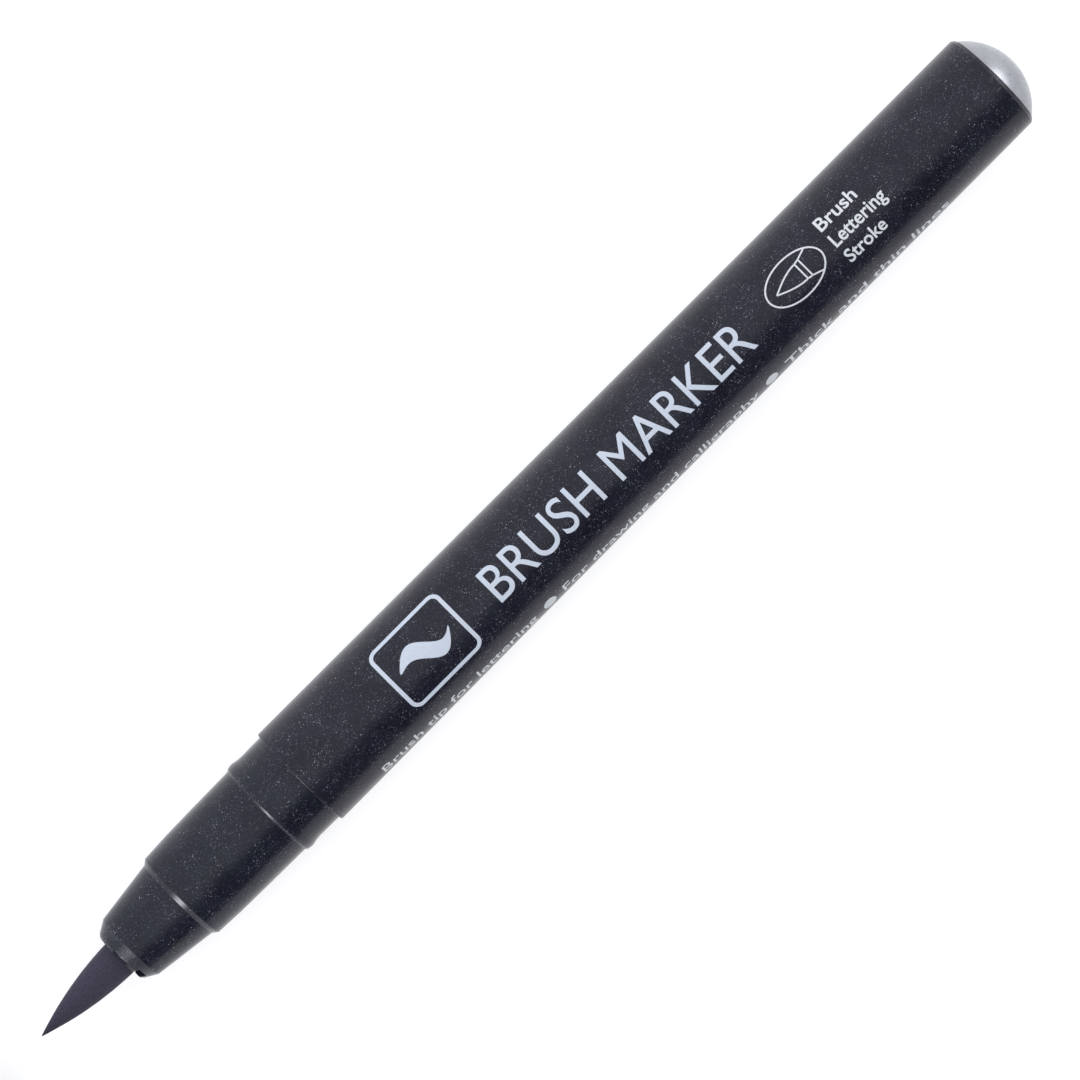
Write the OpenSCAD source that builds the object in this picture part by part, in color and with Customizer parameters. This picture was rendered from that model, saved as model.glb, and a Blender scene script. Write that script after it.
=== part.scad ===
// Brush marker for calligraphy, with its cap pulled off and lying in line ahead of the nib.
// Millimetres. X runs from the nib (-X) to the tail (+X), Z is up, and Z = 0 is the surface it lies on.
// Positions along the pen are given as a distance s from the nib's point, towards the tail.
// Positions along the cap are given as a distance c from the cap's closed end, towards its mouth.

/* [Overall] */
// Length of the pen from nib point to tail, cap off
pen_l = 133; // [128:0.5:140]
// Clear gap between the nib point and the mouth of the pulled-off cap
cap_gap = 8; // [6:0.5:20]

/* [Barrel] */
// Where the barrel's front edge sits, from the nib point
barrel_s = 35.37; // [35:0.01:35.6]
// Radius of the barrel at its front edge
barrel_r_front = 5.765; // [5.7:0.005:5.85]
// Radius of the parallel rear length of the barrel
barrel_r_rear = 5.545; // [5.5:0.005:5.6]
// Length of the parallel rear length of the barrel
barrel_rear_l = 27.5; // [20:0.5:40]
// Radius of the barrel's bore
barrel_bore_r = 4.95; // [4.9:0.01:5]
// Number of ribs that centre the reservoir
rib_count = 6; // [3:1:8]
// Thickness of one rib
rib_t = 0.7; // [0.5:0.1:1]

/* [Front section] */
// Where the mouth rim sits, from the nib point
mouth_s = 10.78; // [10.5:0.01:11]
// Radius of the bore that guides the nib
nib_bore_r = 2.05; // [2.02:0.01:2.1]
// Radius of the crest of the snap bead
bead_r = 5.556; // [5.5:0.001:5.58]
// Radius of the chamber for the reservoir
chamber_r = 4.25; // [4.2:0.01:4.3]
// Width of one air groove
vent_w = 0.8; // [0.6:0.1:1]
// Width of an air groove's notch in the mouth rim
notch_w = 1.35; // [1:0.05:1.5]
// Depth of an air groove's notch in the mouth rim
notch_d = 0.48; // [0.3:0.02:0.8]
// Angle of the air grooves above and below the horizontal
vent_angle = 34; // [25:1:60]

/* [Nib] */
// Radius of the nib's shank
nib_r = 1.96; // [1.9:0.01:2]
// Length of the nib's curved point
nib_point_l = 11.6; // [11:0.1:13]
// Radius of the thin tail that enters the reservoir
nib_tail_r = 1.6; // [1.4:0.05:1.7]

/* [Reservoir] */
// Radius of the fibre core
core_r = 4; // [3.8:0.05:4.05]
// Thickness of the film around the core
film_t = 0.15; // [0.1:0.01:0.18]
// Where the core ends, from the nib point
core_end_s = 115.5; // [90:0.5:118]

/* [Tail] */
// Radius of the tail plug's domed face at its base
dome_r = 5.15; // [5.1:0.01:5.2]
// Height of the dome over the barrel's rear rim
dome_h = 2.45; // [2.3:0.05:2.6]

/* [Cap] */
// Length of the cap
cap_l = 41.5; // [41:0.1:44]
// Outer radius of the cap
cap_r = 6.35; // [6.3:0.01:6.6]
// Outer radius of the cap beside its closed end
cap_r_end = 6.18; // [6.1:0.01:6.3]
// Radius of the cap's bore at its mouth
cap_bore_r = 5.68; // [5.66:0.01:5.75]
// Gap between the closed cap's mouth and the barrel's edge
cap_seat_gap = 0.15; // [0.1:0.01:0.3]
// Outer radius of the clip
clip_r = 8.7; // [8.4:0.05:8.9]
// Width of the clip
clip_w = 3.8; // [3.4:0.1:4.2]

/* [Hidden] */
$fn = 96;

// The barrel's rear rim and the parallel length ahead of it
rim_s = pen_l - dome_h;
rear_s = rim_s - 0.42;
taper_end_s = rear_s - barrel_rear_l;

// The clip turns down beside the cap until its edge rests on the surface
clip_drop = asin((cap_r - 0.01) / clip_r) - asin(clip_w / 2 / clip_r);
clip_reach = clip_r * cos(clip_drop - asin(clip_w / 2 / clip_r));

// Frame: the origin is the centre of the bottom of the overall box
tip_x = -(pen_l + cap_gap + cap_l) / 2 + cap_l + cap_gap;
cap_x = -(pen_l + cap_gap + cap_l) / 2;
axis_y = (clip_reach - cap_r) / 2;
axis_z = cap_r;

// With the cap closed, a place c on the cap lies at s = c + closed_s
closed_s = barrel_s - cap_seat_gap - cap_l;

// Sphere radius of a dome of height h on a base of radius r
function dome_radius(r, h) = (r * r + h * h) / (2 * h);

// Places a shape turned about Z on the pen's axis: its Z runs along +X, its -X points up
module on_pen() { translate([tip_x, axis_y, axis_z]) rotate([0, 90, 0]) children(); }
module on_cap() { translate([cap_x, axis_y, axis_z]) rotate([0, 90, 0]) children(); }

// Solid of revolution from points [radius, position]
module lathe(points) { rotate_extrude() polygon(points); }

// Half profile of a dome cap: base of radius r at position z, height h, along +Z or -Z
module dome_profile(r, h, z, dir) {
    big = dome_radius(r, h);
    intersection() {
        translate([0, z + dir * (h - big)]) circle(r = big, $fn = 256);
        translate([0, dir > 0 ? z : z - h - 1]) square([r, h + 1]);
    }
}

// Tapered tube with a centring rib every 60 degrees or so, open at both ends
module barrel() {
    color([0.16, 0.16, 0.19]) on_pen() union() {
        lathe([
            [barrel_bore_r, barrel_s + 0.12], [barrel_bore_r + 0.12, barrel_s],
            [barrel_r_front - 0.07, barrel_s], [barrel_r_front, barrel_s + 0.07],
            [barrel_r_rear, taper_end_s], [barrel_r_rear, rear_s],
            [dome_r + 0.01, rim_s], [barrel_bore_r + 0.03, rim_s], [barrel_bore_r, rim_s - 0.1]
        ]);
        for (i = [0 : rib_count - 1]) rotate([0, 0, 360 / rib_count * i])
            translate([core_r + film_t + 0.13, -rib_t / 2, barrel_s + 13.2])
                cube([barrel_bore_r - core_r - film_t + 0.07, rib_t, core_end_s + 3 - barrel_s - 13.2]);
    }
}

// Nose with a bevelled mouth, cone, cap seat, snap bead and neck, and a spigot inside the barrel
module front_section() {
    spigot_r = barrel_bore_r - 0.02;
    color([0.16, 0.16, 0.19]) on_pen() difference() {
        lathe([
            [nib_bore_r, mouth_s + 0.1], [nib_bore_r + 0.1, mouth_s],
            [2.72, mouth_s], [2.86, mouth_s + 0.07], [3.07, mouth_s + 0.26], [3.79, mouth_s + 1.49],
            [4.605, mouth_s + 7.82], [5.0, mouth_s + 8.5], [5.045, mouth_s + 8.62],
            [5.175, mouth_s + 11.5], [5.24, mouth_s + 15.4], [5.29, mouth_s + 19.84],
            [5.34, mouth_s + 20.02], [5.45, mouth_s + 20.19], [5.52, mouth_s + 20.38],
            [bead_r, mouth_s + 20.62], [bead_r - 0.012, mouth_s + 20.9], [5.505, mouth_s + 21.16],
            [5.45, mouth_s + 21.38], [5.41, mouth_s + 21.7], [5.39, mouth_s + 22],
            [5.425, barrel_s - 0.06], [spigot_r, barrel_s - 0.06],
            [spigot_r, barrel_s + 11], [spigot_r - 0.25, barrel_s + 11.6], [chamber_r, barrel_s + 11.6],
            [chamber_r, mouth_s + 13.6], [nib_bore_r, mouth_s + 11.6]
        ]);
        // Three air grooves run along the nib bore and break out through the mouth rim
        for (a = [0, 2 * vent_angle, 180]) rotate([0, 0, a - 90 - vent_angle]) {
            translate([0, -vent_w / 2, mouth_s - 1]) cube([nib_bore_r + 0.45, vent_w, 16]);
            translate([0, -notch_w / 2, mouth_s - 1]) cube([4.5, notch_w, 1 + notch_d]);
        }
    }
}

// Flexible fibre nib: a curved point, a shank and a thin tail that draws ink from the core
module brush_nib() {
    arc = (nib_r * nib_r + nib_point_l * nib_point_l) / (2 * nib_r);
    color([0.24, 0.23, 0.27]) on_pen() rotate_extrude() union() {
        intersection() {
            translate([nib_r - arc, nib_point_l - 0.1]) circle(r = arc, $fn = 256);
            square([nib_r, nib_point_l - 0.1]);
        }
        polygon([
            [0, nib_point_l - 0.2], [nib_r, nib_point_l - 0.2], [nib_r, mouth_s + 12.6],
            [nib_tail_r, mouth_s + 13.2], [nib_tail_r, mouth_s + 20], [0.7, mouth_s + 21.8], [0, mouth_s + 21.8]
        ]);
    }
}

// Ink-filled fibre core with a pocket for the nib's tail
module ink_reservoir() {
    color([0.3, 0.3, 0.34]) on_pen() difference() {
        translate([0, 0, mouth_s + 13.9]) cylinder(r = core_r, h = core_end_s - mouth_s - 13.9);
        translate([0, 0, mouth_s + 12]) cylinder(r = nib_tail_r + 0.05, h = 10.2);
    }
}

// Film sleeve around the fibre core
module reservoir_film() {
    color([0.85, 0.87, 0.9]) on_pen() difference() {
        translate([0, 0, mouth_s + 14.2]) cylinder(r = core_r + 0.02 + film_t - 0.02, h = core_end_s - mouth_s - 14.2);
        translate([0, 0, mouth_s + 13]) cylinder(r = core_r + 0.01, h = core_end_s);
    }
}

// Domed plug in the ink's colour, with a skirt in the barrel and a stop behind the core
module tail_plug() {
    skirt_r = barrel_bore_r - 0.02;
    color([0.66, 0.68, 0.72]) on_pen() union() {
        rotate_extrude() dome_profile(dome_r, dome_h - 0.1, rim_s + 0.1, 1);
        lathe([
            [0, rim_s + 0.8], [3.2, rim_s + 0.6], [skirt_r, rim_s + 0.12], [skirt_r, rim_s - 9.4], [skirt_r - 0.3, rim_s - 10],
            [4.1, rim_s - 10], [4.1, rim_s - 1.3], [2.6, rim_s - 1.3], [2.6, core_end_s + 0.4],
            [1.9, core_end_s + 0.4], [1.9, rim_s - 1.3], [0, rim_s - 1.3]
        ]);
    }
}

// Open-ended cap tube with a moulded clip
module cap_shell() {
    step_c = 18.2 - closed_s;
    color([0.16, 0.16, 0.19]) on_cap() union() {
        lathe([
            [5.17, 2.0], [5.72, 2.0], [5.98, 2.12], [cap_r_end, 2.5], [cap_r, 22], [cap_r, cap_l - 0.15],
            [cap_r - 0.15, cap_l], [cap_bore_r + 0.2, cap_l], [cap_bore_r, cap_l - 0.3],
            [cap_bore_r, step_c], [5.15, step_c - 0.5], [5.15, 2.1]
        ]);
        rotate([0, 0, clip_drop - 90]) intersection() {
            rotate([90, 0, 0]) translate([0, 0, -clip_w / 2]) linear_extrude(clip_w) polygon([
                [6.0, 2.9], [6.0, 7.4], [6.9, 7.6], [7.3, 8.3], [7.25, 30.8], [6.85, 31.7], [6.56, 32.6],
                [6.56, 33.4], [6.95, 34.6], [7.5, 35.4], [8.0, 35.4], [8.35, 34.6], [clip_r - 0.1, 30],
                [clip_r + 0.3, 22], [clip_r + 0.3, 5.4], [8.1, 3.6], [7.4, 2.9]
            ]);
            rotate([0, 90, 0]) linear_extrude(clip_r + 1) polygon([
                [-2.9, -clip_w / 2 + 0.5], [-3.6, -clip_w / 2], [-31, -clip_w / 2], [-34.6, -clip_w / 2 + 0.6],
                [-35.4, -clip_w / 2 + 1.3], [-35.4, clip_w / 2 - 1.3], [-34.6, clip_w / 2 - 0.6],
                [-31, clip_w / 2], [-3.6, clip_w / 2], [-2.9, clip_w / 2 - 0.5]
            ]);
            cylinder(r = clip_r, h = cap_l);
        }
    }
}

// Closed sleeve in the cap that shuts on the nose cone and keeps the nib wet
module cap_inner_seal() {
    seal_end = 15 - closed_s;
    color([0.78, 0.79, 0.8]) on_cap() lathe([
        [0, 3.4], [4.9, 3.4], [5.13, 3.7], [5.13, seal_end - 0.5], [4.85, seal_end], [4.4, seal_end],
        [4.25, seal_end - 0.25], [4.25, 6.2], [3.4, 4.4], [0, 4.4]
    ]);
}

// Domed plug in the ink's colour that shuts the cap's end
module cap_end_plug() {
    color([0.66, 0.68, 0.72]) on_cap() rotate_extrude() union() {
        dome_profile(5.65, 1.9, 1.9, -1);
        polygon([[0, 1.85], [5.13, 1.85], [5.13, 3.1], [4.9, 3.3], [0, 3.3]]);
    }
}

barrel();
front_section();
brush_nib();
ink_reservoir();
reservoir_film();
tail_plug();
cap_shell();
cap_inner_seal();
cap_end_plug();
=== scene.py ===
"""Looks of the brush marker: the pen with its cap pulled off, on a pale floor under soft studio light.
Lengths along the pen are s, in millimetres from the nib's point; lengths along the cap are c, from its closed end."""
import math

import bmesh
import bpy
from mathutils import Matrix, Vector, noise


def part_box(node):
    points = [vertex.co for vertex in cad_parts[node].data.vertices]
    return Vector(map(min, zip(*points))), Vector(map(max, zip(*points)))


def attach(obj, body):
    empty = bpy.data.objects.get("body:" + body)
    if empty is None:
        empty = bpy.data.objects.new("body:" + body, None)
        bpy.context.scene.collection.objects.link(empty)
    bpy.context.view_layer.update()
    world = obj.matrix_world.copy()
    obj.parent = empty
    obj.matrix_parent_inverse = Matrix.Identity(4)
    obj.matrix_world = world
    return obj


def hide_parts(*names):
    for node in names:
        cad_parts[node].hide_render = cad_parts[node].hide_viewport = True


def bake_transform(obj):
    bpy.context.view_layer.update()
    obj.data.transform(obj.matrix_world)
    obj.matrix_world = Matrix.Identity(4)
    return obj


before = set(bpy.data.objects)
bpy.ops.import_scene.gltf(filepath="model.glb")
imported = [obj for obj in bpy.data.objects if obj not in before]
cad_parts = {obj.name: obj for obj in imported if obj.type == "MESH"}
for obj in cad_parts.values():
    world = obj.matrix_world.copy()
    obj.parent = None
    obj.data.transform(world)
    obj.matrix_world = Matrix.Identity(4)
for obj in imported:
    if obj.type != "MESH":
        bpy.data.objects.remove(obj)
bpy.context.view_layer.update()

MM = 0.001
nib_lo, nib_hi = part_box("brush_nib")
barrel_lo, barrel_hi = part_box("barrel")
tail_lo, tail_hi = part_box("tail_plug")
plug_lo, plug_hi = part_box("cap_end_plug")
shell_lo, shell_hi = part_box("cap_shell")
seal_lo, seal_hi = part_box("cap_inner_seal")
TIP_X = nib_lo[0] / MM
CAP_X = plug_lo[0] / MM
AX_Y = (barrel_lo[1] + barrel_hi[1]) / 2 / MM
AX_Z = (shell_lo[2] + shell_hi[2]) / 2 / MM
BARREL_S = barrel_lo[0] / MM - TIP_X
RIM_S = barrel_hi[0] / MM - TIP_X
PEN_L = tail_hi[0] / MM - TIP_X
MOUTH_S = 10.78
CAP_R = (shell_hi[2] - shell_lo[2]) / 2 / MM
CAP_L = shell_hi[0] / MM - CAP_X


# ---------------------------------------------------------------- mesh helpers
def fillet(points, radii, steps=6, closed=True):
    """Rounds the corners of a 2D outline. radii holds one radius per point, 0 for a sharp corner."""
    out = []
    n = len(points)
    for i, p in enumerate(points):
        r = radii[i]
        if r <= 0 or (not closed and i in (0, n - 1)):
            out.append(tuple(p))
            continue
        a, b = Vector(points[i - 1]), Vector(points[(i + 1) % n])
        v = Vector(p)
        da, db = (a - v), (b - v)
        la, lb = da.length, db.length
        da.normalize()
        db.normalize()
        ang = da.angle(db)
        if ang > math.pi - 0.01:
            out.append(tuple(p))
            continue
        t = min(r / math.tan(ang / 2), 0.48 * la, 0.48 * lb)
        rr = t * math.tan(ang / 2)
        centre = v + (da + db).normalized() * (rr / math.sin(ang / 2))
        p0, p1 = v + da * t - centre, v + db * t - centre
        turn = p0.angle_signed(p1)
        for k in range(steps + 1):
            f = -turn * k / steps
            c, s = math.cos(f), math.sin(f)
            q = centre + Vector((p0.x * c - p0.y * s, p0.x * s + p0.y * c))
            out.append((q.x, q.y))
    return out


def densify(points, longest=1.0, near=0.05, closed=True):
    """Adds points along long stretches, and close to their ends, so that shading stays where it belongs."""
    out = []
    n = len(points)
    for i in range(n if closed else n - 1):
        a, b = Vector(points[i]), Vector(points[(i + 1) % n])
        out.append(tuple(a))
        length = (b - a).length
        if length > 4 * near:
            d = (b - a) / length
            out.append(tuple(a + d * near))
            m = max(1, math.ceil((length - 2 * near) / longest))
            for k in range(1, m):
                out.append(tuple(a + d * (near + (length - 2 * near) * k / m)))
            out.append(tuple(b - d * near))
    if not closed:
        out.append(tuple(points[-1]))
    return out


def finish_mesh(bm, name, sharp_deg=38.0):
    bmesh.ops.remove_doubles(bm, verts=bm.verts, dist=2e-7)
    bmesh.ops.dissolve_degenerate(bm, edges=bm.edges, dist=1e-8)
    bmesh.ops.recalc_face_normals(bm, faces=bm.faces)
    limit = math.radians(sharp_deg)
    for f in bm.faces:
        f.smooth = True
    for e in bm.edges:
        e.smooth = not (len(e.link_faces) == 2 and e.calc_face_angle(0) > limit)
    me = bpy.data.meshes.new(name)
    bm.to_mesh(me)
    bm.free()
    ob = bpy.data.objects.new(name, me)
    bpy.context.scene.collection.objects.link(ob)
    return ob


def revolve(profile, x0, segments=240, closed=True, radius=None):
    """bmesh of a profile of [r, s] points turned about the pen's axis. radius(r, s, angle) may change r."""
    bm = bmesh.new()
    rings = []
    for r, s in profile:
        if r < 1e-6:
            v = bm.verts.new(((x0 + s) * MM, AX_Y * MM, AX_Z * MM))
            rings.append([v] * segments)
            continue
        ring = []
        for k in range(segments):
            a = 2 * math.pi * k / segments
            q = radius(r, s, a) if radius else r
            ring.append(bm.verts.new(((x0 + s) * MM, (AX_Y + q * math.sin(a)) * MM, (AX_Z + q * math.cos(a)) * MM)))
        rings.append(ring)
    n = len(rings)
    for i in range(n if closed else n - 1):
        ra, rb = rings[i], rings[(i + 1) % n]
        if ra[0] is ra[1] and rb[0] is rb[1]:
            continue
        for k in range(segments):
            j = (k + 1) % segments
            quad = []
            for v in (ra[k], ra[j], rb[j], rb[k]):
                if v not in quad:
                    quad.append(v)
            if len(quad) > 2:
                bm.faces.new(quad)
    return bm


def boxed(name, x, size, angle_deg, radial):
    """A cutter box in the pen's frame: x and size[0] along the pen, pointing out at an angle from +Z towards -Y."""
    bm = bmesh.new()
    bmesh.ops.create_cube(bm, size=1)
    a = math.radians(angle_deg)
    out = Vector((0, -math.sin(a), math.cos(a)))
    side = Vector((0, math.cos(a), math.sin(a)))
    for v in bm.verts:
        u, w, r = v.co.x * size[0], v.co.y * size[1], v.co.z * size[2]
        p = Vector(((x + u), AX_Y, AX_Z)) + side * w + out * (radial + r)
        v.co = p * MM
    bmesh.ops.recalc_face_normals(bm, faces=bm.faces)
    me = bpy.data.meshes.new(name)
    bm.to_mesh(me)
    bm.free()
    ob = bpy.data.objects.new(name, me)
    bpy.context.scene.collection.objects.link(ob)
    return ob


def boolean(ob, others, operation):
    """Applies an exact boolean and removes the other objects."""
    for o in others:
        m = ob.modifiers.new("cut", "BOOLEAN")
        m.operation, m.solver, m.object = operation, "EXACT", o
    dg = bpy.context.evaluated_depsgraph_get()
    me = bpy.data.meshes.new_from_object(ob.evaluated_get(dg), depsgraph=dg)
    ob.modifiers.clear()
    old = ob.data
    ob.data = me
    bpy.data.meshes.remove(old)
    for o in others:
        bpy.data.objects.remove(o, do_unlink=True)
    bm = bmesh.new()
    bm.from_mesh(me)
    bmesh.ops.remove_doubles(bm, verts=bm.verts, dist=2e-7)
    for f in bm.faces:
        f.smooth = True
    for e in bm.edges:
        e.smooth = not (len(e.link_faces) == 2 and e.calc_face_angle(0) > math.radians(38))
    bm.to_mesh(me)
    bm.free()
    me.name = ob.name
    return ob


# ---------------------------------------------------------------- material helpers
class Tree:
    """Small shorthand for building a material's nodes."""

    def __init__(self, name):
        self.mat = bpy.data.materials.new(name)
        self.mat.use_nodes = True
        self.nt = self.mat.node_tree
        self.nt.nodes.clear()
        self.out = self.new("ShaderNodeOutputMaterial")
        self.bsdf = self.new("ShaderNodeBsdfPrincipled")
        self.link(self.bsdf.outputs[0], self.out.inputs["Surface"])
        tc = self.new("ShaderNodeTexCoord")
        m = self.new("ShaderNodeMapping")
        m.inputs["Scale"].default_value = (1000, 1000, 1000)
        self.link(tc.outputs["Object"], m.inputs["Vector"])
        self.mm = m.outputs[0]

    def new(self, kind, **props):
        n = self.nt.nodes.new(kind)
        for k, v in props.items():
            setattr(n, k, v)
        return n

    def link(self, a, b):
        self.nt.links.new(a, b)

    def put(self, value, socket):
        if hasattr(value, "is_output"):
            self.link(value, socket)
        else:
            socket.default_value = value

    def math(self, op, a, b=0.0, clamp=False):
        n = self.new("ShaderNodeMath", operation=op, use_clamp=clamp)
        self.put(a, n.inputs[0])
        self.put(b, n.inputs[1])
        return n.outputs[0]

    def noise(self, scale, detail=3.0, rough=0.5, vector=None, distortion=0.0):
        n = self.new("ShaderNodeTexNoise")
        n.inputs["Scale"].default_value = scale
        n.inputs["Detail"].default_value = detail
        n.inputs["Roughness"].default_value = rough
        n.inputs["Distortion"].default_value = distortion
        self.link(vector or self.mm, n.inputs["Vector"])
        return n.outputs["Fac"]

    def voronoi(self, scale, vector=None):
        n = self.new("ShaderNodeTexVoronoi")
        n.inputs["Scale"].default_value = scale
        self.link(vector or self.mm, n.inputs["Vector"])
        return n

    def ramp(self, fac, stops, mode="LINEAR"):
        n = self.new("ShaderNodeValToRGB")
        n.color_ramp.interpolation = mode
        el = n.color_ramp.elements
        while len(el) < len(stops):
            el.new(0.5)
        for e, (p, c) in zip(el, stops):
            e.position = p
            e.color = (c, c, c, 1) if isinstance(c, (int, float)) else (*c, 1)
        self.link(fac, n.inputs[0])
        return n.outputs[0]

    def mix(self, fac, a, b, mode="MIX"):
        n = self.new("ShaderNodeMix", data_type="RGBA", blend_type=mode)
        self.put(fac, n.inputs["Factor"])
        for v, i in ((a, 6), (b, 7)):
            self.put((*v, 1) if isinstance(v, tuple) and len(v) == 3 else v, n.inputs[i])
        return n.outputs[2]

    def range(self, value, a0, a1, b0, b1, smooth=False):
        n = self.new("ShaderNodeMapRange")
        if smooth:
            n.interpolation_type = "SMOOTHSTEP"
        self.link(value, n.inputs["Value"])
        for k, v in zip(("From Min", "From Max", "To Min", "To Max"), (a0, a1, b0, b1)):
            n.inputs[k].default_value = v
        return n.outputs["Result"]

    def stretch(self, sx, sy, sz):
        m = self.new("ShaderNodeMapping")
        m.inputs["Scale"].default_value = (sx, sy, sz)
        self.link(self.mm, m.inputs["Vector"])
        return m.outputs[0]

    def bump(self, height, distance_mm, strength=1.0):
        n = self.new("ShaderNodeBump")
        n.inputs["Strength"].default_value = strength
        n.inputs["Distance"].default_value = distance_mm * MM
        self.link(height, n.inputs["Height"])
        return n.outputs[0]

    def set(self, **sockets):
        for k, v in sockets.items():
            self.put(v, self.bsdf.inputs[k.replace("_", " ")])
        return self.mat


def flecked_plastic(name, base, haze, rough=0.24, ior=1.34, flecks=1.0):
    """Charcoal plastic with fine pearl flecks in loose clusters, cloudy patches in the pigment and fine scuffs."""
    t = Tree(name)
    cloud = t.noise(0.32, 4, 0.55)
    fine = t.noise(8.0, 3, 0.65)
    cool = t.mix(t.range(t.noise(0.42, 2, 0.5, t.stretch(1.0, 1.0, 1.3)), 0.4, 0.6, 0, 1, True), haze, (haze[0] * 0.86, haze[1] * 1.12, haze[2] * 0.9))
    body = t.mix(t.range(cloud, 0.35, 0.68, 0, 1, True), base, cool)
    body = t.mix(t.range(fine, 0.35, 0.75, 0.0, 0.45), body, tuple(min(1, c * 2.0) for c in haze))
    patch = t.range(t.noise(0.75, 4, 0.6), 0.38, 0.62, 0.25, 1.0, True)
    masks = []
    for scale, size, keep, gain in ((3.4, 0.23, 0.45, 0.62), (5.2, 0.29, 0.38, 0.46), (7.6, 0.42, 0.25, 0.20)):
        v = t.voronoi(scale)
        spot = t.range(v.outputs["Distance"], size * 0.5, size, 1, 0, True)
        pick = t.new("ShaderNodeSeparateColor")
        t.link(v.outputs["Color"], pick.inputs[0])
        bright = t.range(pick.outputs[0], keep, 1.0, 0.0, 1.0)
        bright = t.math("POWER", bright, 1.8)
        masks.append(t.math("MULTIPLY", t.math("MULTIPLY", spot, bright), gain * flecks))
    both = t.math("ADD", t.math("ADD", masks[0], masks[1]), masks[2], clamp=True)
    both = t.math("MULTIPLY", both, patch)
    tone = t.mix(t.noise(2.3, 1, 0.5), (0.52, 0.56, 0.66), (0.70, 0.66, 0.72))
    colour = t.mix(both, body, tone)
    scuff = t.range(t.noise(1.0, 5, 0.65, t.stretch(0.5, 3.0, 3.0)), 0.35, 0.75, -0.03, 0.05)
    r = t.math("ADD", t.math("MULTIPLY", both, 0.2), t.math("ADD", scuff, rough))
    height = t.math("ADD", t.noise(1.1, 3, 0.5), t.math("MULTIPLY", both, 0.5))
    t.set(Base_Color=colour, Roughness=r, IOR=ior, Normal=t.bump(height, 0.0035, 0.55))
    return t.mat


def print_ink(name, colour):
    """Opaque screen-printed ink: slightly mottled, with pin-holes."""
    t = Tree(name)
    mott = t.noise(6.0, 4, 0.65)
    c = t.mix(t.range(mott, 0.3, 0.75, 0, 1), tuple(x * 0.86 for x in colour), colour)
    v = t.voronoi(5.5)
    hole = t.range(v.outputs["Distance"], 0.05, 0.13, 0.35, 0.0)
    c = t.mix(hole, c, (0.12, 0.13, 0.16))
    t.set(Base_Color=c, Roughness=t.range(mott, 0.3, 0.7, 0.38, 0.55), Normal=t.bump(mott, 0.004, 0.6))
    t.bsdf.inputs["Specular IOR Level"].default_value = 0.35
    return t.mat


def pearl(name, colour, dark):
    """Silver-grey pearl plastic, the ink's colour."""
    t = Tree(name)
    cloud = t.noise(0.45, 4, 0.6)
    c = t.mix(t.range(cloud, 0.3, 0.7, 0, 1, True), dark, colour)
    v = t.voronoi(5.0)
    pick = t.new("ShaderNodeSeparateColor")
    t.link(v.outputs["Color"], pick.inputs[0])
    spot = t.math("MULTIPLY", t.range(v.outputs["Distance"], 0.15, 0.36, 1, 0), t.range(pick.outputs[1], 0.5, 1, 0, 0.5))
    c = t.mix(spot, c, (0.52, 0.535, 0.56))
    t.set(Base_Color=c, Metallic=t.range(cloud, 0.3, 0.7, 0.25, 0.35), Roughness=t.range(t.noise(3.0, 3), 0.3, 0.7, 0.27, 0.32),
          Normal=t.bump(t.noise(2.2, 4, 0.6), 0.003, 0.5))
    return t.mat


def felt_nib(name):
    """Ink-stained fibre: fine fibres along the nib."""
    t = Tree(name)
    fibres = t.noise(1.0, 5, 0.7, t.stretch(1.1, 9.0, 9.0), 0.6)
    grain = t.noise(7.0, 4, 0.7)
    cross = t.noise(1.0, 4, 0.6, t.stretch(4.0, 7.0, 7.0), 1.5)
    c = t.mix(t.range(fibres, 0.3, 0.72, 0, 1), (0.0165, 0.0140, 0.0268), (0.0400, 0.0348, 0.0600))
    c = t.mix(t.range(grain, 0.38, 0.72, 0, 0.75), c, (0.068, 0.060, 0.084))
    h = t.math("ADD", t.math("MULTIPLY", fibres, 0.7), t.math("ADD", t.math("MULTIPLY", grain, 0.35), t.math("MULTIPLY", cross, 0.4)))
    t.set(Base_Color=c, Roughness=t.range(grain, 0.2, 0.8, 0.78, 0.98), Normal=t.bump(h, 0.03, 0.8))
    t.bsdf.inputs["Sheen Weight"].default_value = 0.05
    t.bsdf.inputs["Sheen Roughness"].default_value = 0.45
    t.bsdf.inputs["Specular IOR Level"].default_value = 0.3
    return t.mat


def core_fibre(name):
    t = Tree(name)
    f = t.noise(1.0, 4, 0.7, t.stretch(0.25, 6.0, 6.0), 0.3)
    c = t.mix(t.range(f, 0.3, 0.7, 0, 1), (0.05, 0.05, 0.062), (0.16, 0.16, 0.19))
    t.set(Base_Color=c, Roughness=t.range(f, 0.3, 0.7, 0.8, 0.95), Normal=t.bump(f, 0.05, 0.7))
    return t.mat


def film(name):
    t = Tree(name)
    f = t.noise(1.0, 3, 0.5, t.stretch(0.3, 2.0, 2.0))
    t.set(Base_Color=t.mix(f, (0.62, 0.65, 0.70), (0.82, 0.85, 0.9)), Roughness=t.range(f, 0.3, 0.7, 0.12, 0.28), Normal=t.bump(f, 0.02, 0.5))
    return t.mat


def natural_plastic(name):
    t = Tree(name)
    n = t.noise(1.4, 4, 0.6)
    t.set(Base_Color=t.mix(n, (0.50, 0.51, 0.53), (0.62, 0.63, 0.65)), Roughness=t.range(n, 0.3, 0.7, 0.4, 0.55), Normal=t.bump(t.noise(4.0, 3), 0.004, 0.5))
    t.bsdf.inputs["Subsurface Weight"].default_value = 0.1
    t.bsdf.inputs["Subsurface Scale"].default_value = 0.002
    return t.mat


def dress(ob, mat):
    ob.data.materials.clear()
    ob.data.materials.append(mat)


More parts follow.
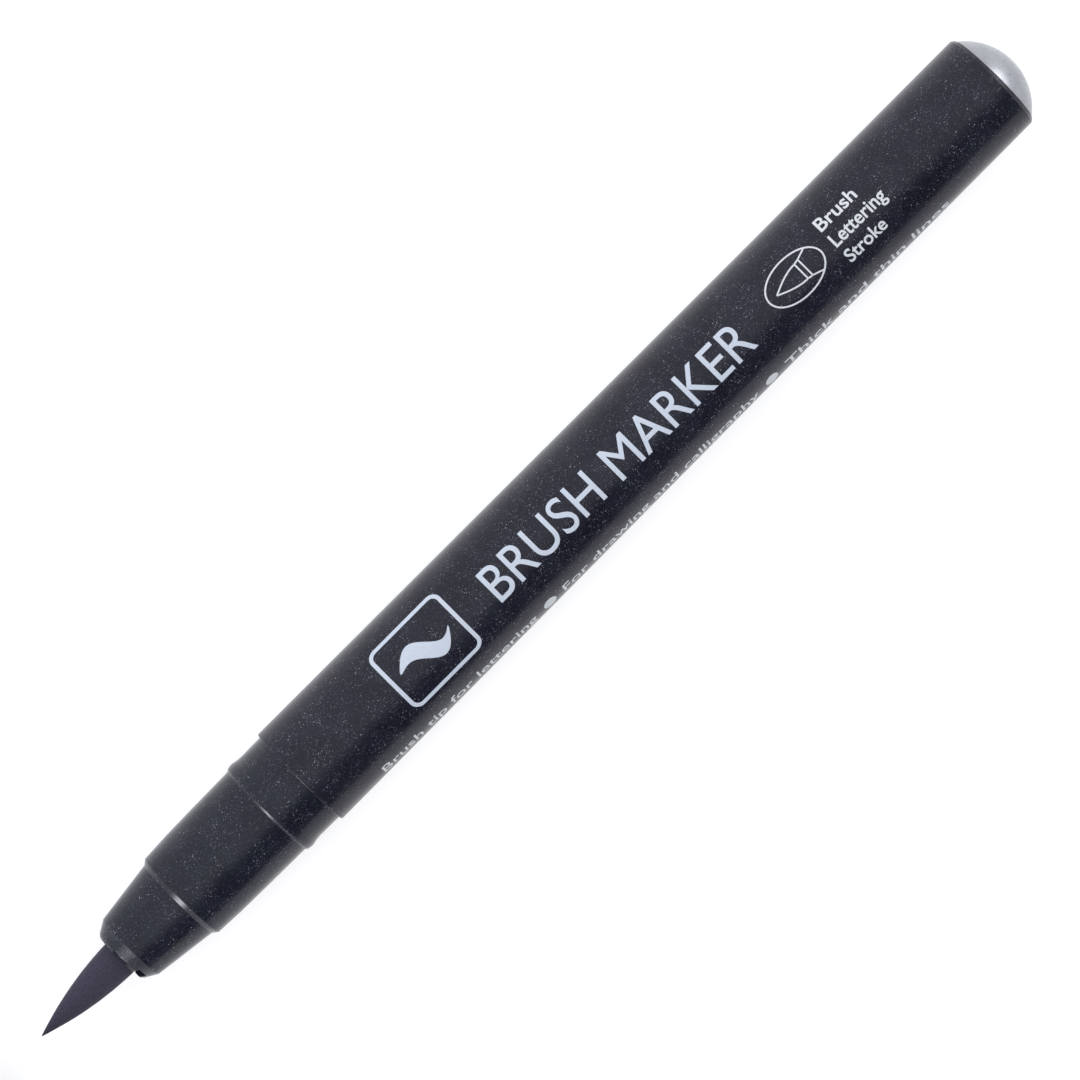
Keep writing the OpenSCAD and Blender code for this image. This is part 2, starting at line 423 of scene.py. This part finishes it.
BASE = (0.0039, 0.0038, 0.0088)
HAZE = (0.0096, 0.0095, 0.0178)
m_barrel = flecked_plastic("barrel_plastic", BASE, HAZE, flecks=0.85)
m_section = flecked_plastic("section_plastic", (0.0039, 0.0046, 0.0098), (0.0094, 0.0103, 0.0184), rough=0.22, flecks=0.8)
m_cap = flecked_plastic("cap_plastic", BASE, HAZE, rough=0.23, flecks=0.85)
m_print = print_ink("print_blue", (0.515, 0.568, 0.640))
m_print_white = print_ink("print_white", (0.61, 0.635, 0.65))
m_print_side = print_ink("print_side", (0.53, 0.555, 0.575))
m_pearl = pearl("pearl_grey", (0.290, 0.303, 0.318), (0.225, 0.237, 0.252))
m_nib = felt_nib("nib_fibre")
m_core = core_fibre("core_fibre")
m_film = film("clear_film")
m_seal = natural_plastic("seal_plastic")


# ---------------------------------------------------------------- barrel
BORE_R, REAR_R, FRONT_R = 4.95, 5.545, 5.765
REAR_S = RIM_S - 0.52
TAPER_S = RIM_S - 27.92


def barrel_radius(s):
    """Outer radius of the barrel at s."""
    return FRONT_R + (REAR_R - FRONT_R) * min(1.0, max(0.0, (s - BARREL_S - 0.07) / (TAPER_S - BARREL_S - 0.07)))


outline = [
    (BORE_R, BARREL_S), (FRONT_R, BARREL_S), (REAR_R, TAPER_S), (REAR_R, REAR_S), (5.34, RIM_S - 0.2), (BORE_R, RIM_S - 0.2),
]
prof = densify(fillet(outline, [0.1, 0.13, 0, 0.10, 0.05, 0.05], 7))
ob = finish_mesh(revolve(prof, TIP_X), "barrel_body")
dress(ob, m_barrel)
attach(ob, "pen")
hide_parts("barrel")

# ---------------------------------------------------------------- front section
outline = [
    (2.05, MOUTH_S), (2.80, MOUTH_S), (3.07, MOUTH_S + 0.26), (3.79, MOUTH_S + 1.49), (4.622, MOUTH_S + 7.92),
    (5.03, MOUTH_S + 8.44), (5.175, MOUTH_S + 11.5), (5.24, MOUTH_S + 15.4), (5.29, MOUTH_S + 19.80),
    (5.315, MOUTH_S + 20.02), (5.50, MOUTH_S + 20.26), (5.556, MOUTH_S + 20.62), (5.55, MOUTH_S + 20.86),
    (5.50, MOUTH_S + 21.16), (5.45, MOUTH_S + 21.38), (5.412, MOUTH_S + 21.7), (5.392, MOUTH_S + 22.0),
    (5.425, BARREL_S - 0.01), (4.93, BARREL_S - 0.01), (4.93, BARREL_S + 11.6), (4.25, BARREL_S + 11.6),
    (4.25, MOUTH_S + 13.6), (2.05, MOUTH_S + 11.6),
]
radii = [0.09, 0.12, 0.22, 0.10, 0.12, 0.16, 2.0, 2.0, 0.2, 0.1, 0.3, 0.3, 0.4, 0.4, 0.4, 0.5, 0.5, 0, 0, 0.2, 0.2, 0.3, 0.3]
prof = densify(fillet(outline, radii, 6))
ob = finish_mesh(revolve(prof, TIP_X), "front_section_body")
cutters = []
for k, angle in enumerate((90 - 36, 90 + 36, 270 - 36)):
    cutters.append(boxed(f"groove{k}", TIP_X + MOUTH_S + 6, (14.0, 0.8, 2.6), angle, 2.5 - 1.3))
    cutters.append(boxed(f"notch{k}", TIP_X + MOUTH_S - 0.5, (2.24, 1.5, 4.0), angle, 2.0 + 0.5))
ob = boolean(ob, cutters, "DIFFERENCE")
dress(ob, m_section)
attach(ob, "pen")
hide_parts("front_section")

# ---------------------------------------------------------------- nib
NIB_R, POINT_L = 1.96, 11.5
arc = (NIB_R**2 + (POINT_L + 0.1) ** 2) / (2 * NIB_R)
prof = [(0.0, 0.0)]
for k in range(0, 101):
    f = (k / 100) ** 1.25
    s = POINT_L * f
    prof.append((max(0.045, NIB_R - arc + math.sqrt(arc**2 - (POINT_L - s) ** 2)), max(s, 0.012) if k else 0.012))
prof += [(NIB_R, s) for s in (12.0, 13.0, 15.0, 18.0, 21.0, MOUTH_S + 12.6)]
prof += [(1.6, MOUTH_S + 13.2), (1.6, MOUTH_S + 20.0), (0.7, MOUTH_S + 21.75), (0.0, MOUTH_S + 21.75)]


def nib_radius(r, s, a):
    """Slightly uneven fibres, never outside the drawn shape."""
    p = Vector((s * 0.8, math.sin(a) * 2.2, math.cos(a) * 2.2))
    q = Vector((s * 0.35, math.sin(a) * 9.0, math.cos(a) * 9.0))
    fade = min(1.0, r / 0.5)
    return r - fade * (0.012 * (1 + noise.noise(p)) + 0.010 * (1 + noise.noise(q)))


ob = finish_mesh(revolve(prof, TIP_X, 160, closed=False, radius=nib_radius), "nib", 60)
dress(ob, m_nib)
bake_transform(ob)
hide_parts("brush_nib")

# ---------------------------------------------------------------- tail plug
def dome(r, h, z, direction, steps=48, edge=0.12):
    """Dome profile from its apex to its rim, as [r, z] points; edge is not used."""
    big = (r * r + h * h) / (2 * h)
    pts = []
    top = math.asin(r / big)
    for k in range(steps + 1):
        a = top * k / steps
        pts.append((big * math.sin(a), z + direction * (h - big + big * math.cos(a))))
    return pts


DOME_R = 5.17
head = dome(DOME_R, PEN_L - RIM_S + 0.14, RIM_S - 0.14, 1)
outline = head + [(4.93, RIM_S - 0.14), (4.93, RIM_S - 10), (4.1, RIM_S - 10), (4.1, RIM_S - 1.3), (0, RIM_S - 1.3)]
radii = [0] * (len(head) - 1) + [0.09, 0.03, 0.25, 0.1, 0.4, 0]
head_fillet = fillet(outline, radii, 5, closed=False)
ob = finish_mesh(revolve(densify(head_fillet, 0.8, 0.04, closed=False), TIP_X, 240, closed=False), "tail_dome")
dress(ob, m_pearl)
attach(ob, "pen")
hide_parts("tail_plug")

# ---------------------------------------------------------------- cap
END_R, CAP_BORE = 6.18, 5.68
STEP_C = seal_hi[0] / MM - CAP_X + 3.2
outline = [
    (5.17, 2.0), (5.74, 2.0), (END_R, 2.5), (CAP_R, 22), (CAP_R, CAP_L), (CAP_BORE, CAP_L),
    (CAP_BORE, STEP_C), (5.15, STEP_C - 0.5),
]
prof = densify(fillet(outline, [0.05, 0.12, 0.2, 0, 0.16, 0.16, 0.1, 0.1], 6))
cap = finish_mesh(revolve(prof, CAP_X), "cap_body")

CLIP_R, CLIP_W = 8.7, 3.8
drop = math.asin((CAP_R - 0.01) / CLIP_R) - math.asin(CLIP_W / 2 / CLIP_R)
out_dir = Vector((0, -math.cos(drop), -math.sin(drop)))
side_dir = Vector((0, -math.sin(drop), math.cos(drop)))


def lerp_table(table, c):
    """Linear reading of [(c, value), ...]."""
    if c <= table[0][0]:
        return table[0][1]
    for (a, va), (b, vb) in zip(table, table[1:]):
        if c <= b:
            return va + (vb - va) * (c - a) / (b - a)
    return table[-1][1]


TOP = [(2.92, 7.35), (3.1, 7.62), (3.6, 8.05), (4.4, 8.42), (5.4, 8.62), (7, 8.65), (22, 8.65), (30, 8.55), (33.0, 8.42), (34.6, 8.28), (35.1, 8.12), (35.38, 7.85)]
UNDER = [(2.92, 5.95), (7.2, 5.95), (7.6, 6.6), (8.1, 7.1), (8.8, 7.28), (30.2, 7.25), (31.2, 7.02), (32.0, 6.7), (32.7, 6.57), (33.4, 6.58), (34.2, 6.8), (34.9, 7.15), (35.38, 7.55)]
WIDE = [(2.92, 1.35), (3.2, 1.65), (3.7, 1.88), (4.2, 1.9), (31, 1.9), (33.5, 1.72), (34.6, 1.4), (35.1, 1.1), (35.38, 0.75)]
sections = sorted(set([c for t in (TOP, UNDER, WIDE) for c, _ in t] + [10, 12.5, 15, 17.5, 20, 25, 27.5]))
bm = bmesh.new()
rings = []
for c in sections:
    top, under, w = lerp_table(TOP, c), lerp_table(UNDER, c), lerp_table(WIDE, c)
    corner = []
    crown = math.sqrt(max(top**2 - w**2, 0)) if top > 8 else top - 0.2
    base = [(-w, under), (w, under), (w, crown)]
    arc_pts = []
    for k in range(1, 12):
        y = w - 2 * w * k / 12
        arc_pts.append((y, crown + (top - crown) * (1 - (y / w) ** 2)))
    pts = base + arc_pts + [(-w, crown)]
    rad = [0.28, 0.28, 0.45] + [0] * len(arc_pts) + [0.45]
    if under < 6.2:
        rad[0] = rad[1] = 0.0001
    pts = fillet([(a, b) for a, b in pts], rad, 5)
    ring = []
    for a, b in pts:
        p = Vector((CAP_X + c, AX_Y, AX_Z)) + out_dir * b + side_dir * a
        ring.append(bm.verts.new(p * MM))
    rings.append(ring)
for ra, rb in zip(rings, rings[1:]):
    n = len(ra)
    for k in range(n):
        bm.faces.new((ra[k], ra[(k + 1) % n], rb[(k + 1) % n], rb[k]))
bm.faces.new(rings[0])
bm.faces.new(list(reversed(rings[-1])))
clip = finish_mesh(bm, "clip_tmp")
cap = boolean(cap, [clip], "UNION")
dress(cap, m_cap)
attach(cap, "cap")
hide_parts("cap_shell")

head = dome(5.65, 1.9, 1.9, -1)
outline = head + [(5.13, 1.9), (5.13, 3.3), (0, 3.3)]
radii = [0] * (len(head) - 1) + [0.09, 0.03, 0.2, 0]
ob = finish_mesh(revolve(densify(fillet(outline, radii, 5, closed=False), 0.8, 0.04, closed=False), CAP_X, 240, closed=False), "cap_dome")
dress(ob, m_pearl)
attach(ob, "cap")
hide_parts("cap_end_plug")

for node, mat in (("ink_reservoir", m_core), ("reservoir_film", m_film), ("cap_inner_seal", m_seal)):
    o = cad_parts[node]
    if not o.material_slots:
        o.data.materials.append(None)
    for s in o.material_slots:
        s.material = mat


# ---------------------------------------------------------------- printing on the barrel
def wrap_flat(bm, name, mat, step=0.22, thick=0.022, lift=0.014):
    """Turns a flat drawing (x = s along the pen, y = arc towards +Y from the top, in mm) into thin ink on the barrel."""
    bmesh.ops.remove_doubles(bm, verts=bm.verts, dist=1e-4)
    ys = [v.co.y for v in bm.verts]
    y = math.floor(min(ys) / step) * step
    while y < max(ys):
        geom = list(bm.verts) + list(bm.edges) + list(bm.faces)
        bmesh.ops.bisect_plane(bm, geom=geom, plane_co=(0, y, 0), plane_no=(0, 1, 0), dist=1e-5)
        y += step
    bmesh.ops.recalc_face_normals(bm, faces=bm.faces)
    for f in bm.faces:
        if f.normal.z < 0:
            f.normal_flip()
    top = list(bm.faces)
    new = bmesh.ops.extrude_face_region(bm, geom=top)
    low = [g for g in new["geom"] if isinstance(g, bmesh.types.BMVert)]
    lowset = set(low)
    for v in bm.verts:
        s, arc_y = v.co.x, v.co.y
        r = barrel_radius(s)
        a = arc_y / r
        q = r + (lift if v in lowset else lift - thick)
        v.co = Vector(((TIP_X + s), AX_Y + q * math.sin(a), AX_Z + q * math.cos(a))) * MM
    bmesh.ops.recalc_face_normals(bm, faces=bm.faces)
    for e in bm.edges:
        e.smooth = not (len(e.link_faces) == 2 and e.calc_face_angle(0) > 0.7)
    for f in bm.faces:
        f.smooth = True
    me = bpy.data.meshes.new(name)
    bm.to_mesh(me)
    bm.free()
    ob = bpy.data.objects.new(name, me)
    bpy.context.scene.collection.objects.link(ob)
    dress(ob, mat)
    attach(ob, "pen")
    return ob


def text_bm(bm, text, s0, s1, mid, height, bold=0.0, space=1.0):
    """Adds text to a flat drawing: from s0, to s1 if given, its capitals' height and the middle of that height."""
    cu = bpy.data.curves.new("t", "FONT")
    cu.body = text
    cu.size = 1.0
    cu.offset = bold
    cu.space_character = space
    cu.resolution_u = 6
    o = bpy.data.objects.new("t", cu)
    bpy.context.scene.collection.objects.link(o)
    bpy.context.view_layer.update()
    dg = bpy.context.evaluated_depsgraph_get()
    me = bpy.data.meshes.new_from_object(o.evaluated_get(dg), depsgraph=dg)
    xs = [v.co.x for v in me.vertices]
    part = bmesh.new()
    part.from_mesh(me)
    cap_h = CAP_H
    k = height / cap_h
    kx = k if s1 is None else (s1 - s0) / (max(xs) - min(xs))
    for v in part.verts:
        v.co.x = s0 + (v.co.x - min(xs)) * kx
        v.co.y = mid + (v.co.y - cap_h / 2) * k
        v.co.z = 0
    tmp = bpy.data.meshes.new("tmp")
    part.to_mesh(tmp)
    part.free()
    bm.from_mesh(tmp)
    bpy.data.meshes.remove(tmp)
    bpy.data.meshes.remove(me)
    bpy.data.objects.remove(o, do_unlink=True)
    bpy.data.curves.remove(cu)


def capital_height():
    cu = bpy.data.curves.new("h", "FONT")
    cu.body = "H"
    cu.size = 1.0
    o = bpy.data.objects.new("h", cu)
    bpy.context.scene.collection.objects.link(o)
    bpy.context.view_layer.update()
    dg = bpy.context.evaluated_depsgraph_get()
    me = bpy.data.meshes.new_from_object(o.evaluated_get(dg), depsgraph=dg)
    h = max(v.co.y for v in me.vertices)
    bpy.data.meshes.remove(me)
    bpy.data.objects.remove(o, do_unlink=True)
    bpy.data.curves.remove(cu)
    return h


def band(bm, points, width, closed=False):
    """A line of constant width along points of a flat drawing, with mitred corners."""
    n = len(points)
    left, right = [], []
    for i, p in enumerate(points):
        p = Vector(p)
        a = Vector(points[i - 1]) if (closed or i > 0) else None
        b = Vector(points[(i + 1) % n]) if (closed or i < n - 1) else None
        d0 = (p - a).normalized() if a is not None else (b - p).normalized()
        d1 = (b - p).normalized() if b is not None else d0
        n0, n1 = Vector((-d0.y, d0.x)), Vector((-d1.y, d1.x))
        m = (n0 + n1).normalized()
        m *= (width / 2) / max(0.35, m.dot(n0))
        left.append(bm.verts.new((p.x + m.x, p.y + m.y, 0)))
        right.append(bm.verts.new((p.x - m.x, p.y - m.y, 0)))
    for i in range(n if closed else n - 1):
        j = (i + 1) % n
        bm.faces.new((left[i], left[j], right[j], right[i]))


CAP_H = capital_height()
PX = 0.09664  # the drawing's grid, in mm


def S(u):
    return (u + 730.5) * PX


# word on the barrel: generic wording in a plain letter
bm = bmesh.new()
text_bm(bm, "BRUSH MARKER", S(-98), S(263), -0.18, 3.72)
wrap_flat(bm, "print_word", m_print)

# framed sign: a plain round-cornered frame around a broad-pen wave
bm = bmesh.new()
x0, x1, y0, y1 = S(-231.5), S(-139.5), -3.62, 3.62
corner = fillet([(x0, y0), (x1, y0), (x1, y1), (x0, y1)], [0.9] * 4, 8)
band(bm, corner, 0.42, True)
mid_x, half = (x0 + x1) / 2, 3.25
prev = None
for k in range(0, 61):
    f = k / 60
    px = mid_x - half + 2 * half * f
    py = 1.2 * math.sin(2 * math.pi * f) * (0.55 + 0.45 * f) + 0.1
    w = 0.12 + 0.78 * math.sin(math.pi * f) ** 0.8
    nx, ny = 0.25 * w, 0.97 * w
    pair = (bm.verts.new((px - nx, py - ny, 0)), bm.verts.new((px + nx, py + ny, 0)))
    if prev:
        bm.faces.new((prev[0], pair[0], pair[1], prev[1]))
    prev = pair
wrap_flat(bm, "print_frame", m_print)

# oval sign with a plain brush point in outline
bm = bmesh.new()
cx, cy, rx, ry = S(336), 0.1, 3.5, 2.13
tilt = math.radians(3)
oval = []
for k in range(72):
    a = 2 * math.pi * k / 72
    oval.append((cx + rx * math.cos(a), cy + ry * math.sin(a)))
band(bm, oval, 0.17, True)
leaf = []
for k in range(0, 17):
    f = k / 16
    leaf.append((cx - 2.5 + 3.3 * f, cy + 0.95 * math.sin(f * math.pi / 2)))
band(bm, leaf, 0.16)
band(bm, [(x, 2 * cy - y) for x, y in leaf], 0.16)
band(bm, [(cx + 0.8, cy + 1.02), (cx + 0.8, cy - 1.02)], 0.16)
band(bm, [(cx + 1.35, cy + 1.12), (cx + 1.35, cy - 1.12)], 0.16)
band(bm, [(cx + 0.8, cy + 0.95), (cx + 1.35, cy + 1.05), (cx + 2.45, cy + 1.42)], 0.16)
band(bm, [(cx + 0.8, cy - 0.95), (cx + 1.35, cy - 1.05), (cx + 2.45, cy - 1.42)], 0.16)
wrap_flat(bm, "print_oval", m_print_white)

# three short generic lines beside it
bm = bmesh.new()
for text, u1, mid in (("Brush", 437, 2.05), ("Lettering", 457, -0.05), ("Stroke", 438, -2.18)):
    text_bm(bm, text, S(386), S(u1), mid, 1.36, 0.016)
wrap_flat(bm, "print_lines", m_print_white)

# small line along the side, with two round dots
bm = bmesh.new()
side_arc = -6.74
for text, u0, u1 in (("Brush tip for lettering", -300, -84), ("For drawing and calligraphy", -45, 230), ("Thick and thin lines", 270, 499)):
    text_bm(bm, text, S(u0), S(u1), side_arc, 1.38, 0.005)
for u in (-64, 250):
    c = [bm.verts.new((S(u) + 0.78 * math.cos(2 * math.pi * k / 40), side_arc + 0.78 * math.sin(2 * math.pi * k / 40), 0)) for k in range(40)]
    bm.faces.new(c)
wrap_flat(bm, "print_side_line", m_print_side)

# ---------------------------------------------------------------- floor, light and camera
bm = bmesh.new()
bmesh.ops.create_circle(bm, cap_ends=True, segments=96, radius=20.0)
floor = finish_mesh(bm, "floor")
t = Tree("floor_paper")
n = t.noise(0.02, 2, 0.5)
t.set(Base_Color=t.mix(n, (0.56, 0.56, 0.56), (0.60, 0.60, 0.60)), Roughness=t.range(n, 0.3, 0.7, 0.85, 0.95))
t.bsdf.inputs["Emission Color"].default_value = (1, 1, 1, 1)
t.bsdf.inputs["Emission Strength"].default_value = 0.58
t.bsdf.inputs["Specular IOR Level"].default_value = 0.1
dress(floor, t.mat)

world = bpy.data.worlds.new("studio")
bpy.context.scene.world = world
world.use_nodes = True
nt = world.node_tree
nt.nodes.clear()
wo = nt.nodes.new("ShaderNodeOutputWorld")
bg = nt.nodes.new("ShaderNodeBackground")
nt.links.new(bg.outputs[0], wo.inputs[0])
tc = nt.nodes.new("ShaderNodeTexCoord")


def toward(x, y, z, a0, a1, v0, v1, smooth=True):
    """Value that goes from v0 to v1 as the direction comes close to (x, y, z); a0 and a1 are angles in degrees."""
    dot = nt.nodes.new("ShaderNodeVectorMath")
    dot.operation = "DOT_PRODUCT"
    dot.inputs[1].default_value = Vector((x, y, z)).normalized()
    nt.links.new(tc.outputs["Generated"], dot.inputs[0])
    mr = nt.nodes.new("ShaderNodeMapRange")
    mr.interpolation_type = "SMOOTHSTEP" if smooth else "LINEAR"
    mr.inputs["From Min"].default_value = math.cos(math.radians(a0))
    mr.inputs["From Max"].default_value = math.cos(math.radians(a1))
    mr.inputs["To Min"].default_value = v0
    mr.inputs["To Max"].default_value = v1
    nt.links.new(dot.outputs["Value"], mr.inputs["Value"])
    return mr.outputs[0]


def combine(op, a, b):
    n = nt.nodes.new("ShaderNodeMath")
    n.operation = op
    nt.links.new(a, n.inputs[0])
    nt.links.new(b, n.inputs[1])
    return n.outputs[0]


# a white tent over the pen, open and dark along the -Y side, with a strip light low at each end
tent = toward(0.0, -0.93, 0.37, 53, 19, 1.25, 0.06)
front_strip = toward(-1.0, -0.07, 0.17, 11, 4, 0.0, 19.0)
front_glow = toward(-1.0, -0.05, 0.42, 24, 6, 0.0, 2.2)
back_strip = toward(1.0, -0.06, 0.07, 19, 4, 0.0, 7.6)
strength = combine("ADD", combine("ADD", tent, front_strip), combine("ADD", front_glow, back_strip))
nt.links.new(strength, bg.inputs["Strength"])
bg.inputs["Color"].default_value = (0.98, 0.99, 1.05, 1)

cam = bpy.data.cameras.new("camera")
cam.sensor_width = 36.0
cam.lens = 36.0 * 676.0 / (1080 * PX)
cam.clip_start, cam.clip_end = 0.01, 100
co = bpy.data.objects.new("camera", cam)
centre = Vector((TIP_X + S(-27.3), AX_Y - 3.25 * PX, AX_Z)) * MM
right = Vector((0.7053, -0.7089, 0)).normalized()
up = Vector((0.7089, 0.7053, 0)).normalized()
bpy.context.scene.collection.objects.link(co)
co.matrix_world = Matrix((
    (right.x, up.x, 0, centre.x),
    (right.y, up.y, 0, centre.y),
    (0, 0, 1, centre.z + 0.676),
    (0, 0, 0, 1),
))
bpy.context.scene.camera = co
vs = bpy.context.scene.view_settings
vs.view_transform = "Standard"
vs.look = "None"
